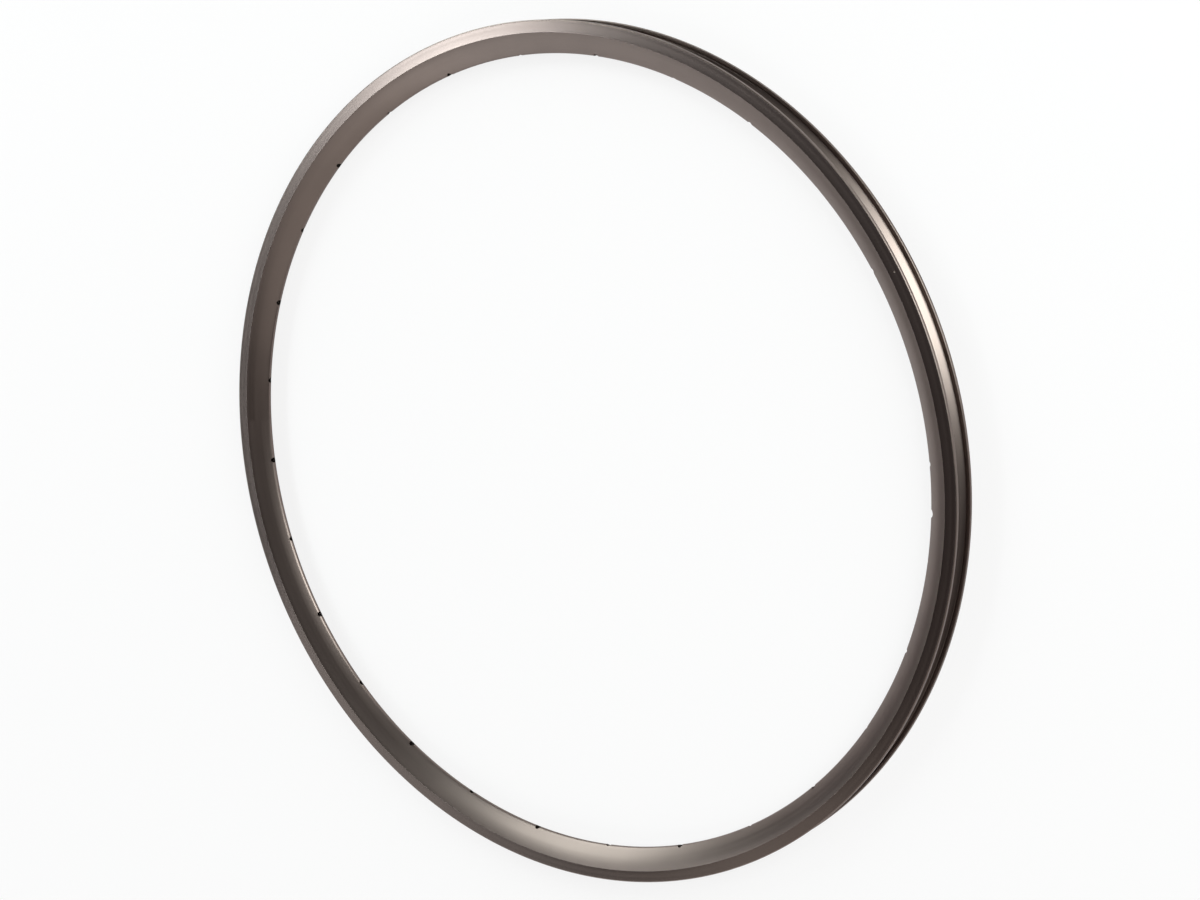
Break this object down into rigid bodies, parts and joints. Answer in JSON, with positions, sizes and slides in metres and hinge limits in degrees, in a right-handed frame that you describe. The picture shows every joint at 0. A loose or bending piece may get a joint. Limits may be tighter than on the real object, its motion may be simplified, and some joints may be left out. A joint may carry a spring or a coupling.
{
  "type": "bicycle rim",
  "caption": "Hollow aluminium bicycle rim with hooked flanges, parallel brake tracks, canted spoke holes and a valve hole.",
  "frame": {"origin": "centre of the wheel, on the rim's middle plane", "axes": "+Z along the axle line, up when the rim lies flat; +X out through the valve hole"},
  "size_m": [0.6336, 0.6336, 0.023],
  "materials": {
    "anodised_aluminium": "dark warm grey satin hard anodising"
  },
  "bodies": {
    "root": {"rim": "anodised_aluminium"}
  },
  "joints": []
}
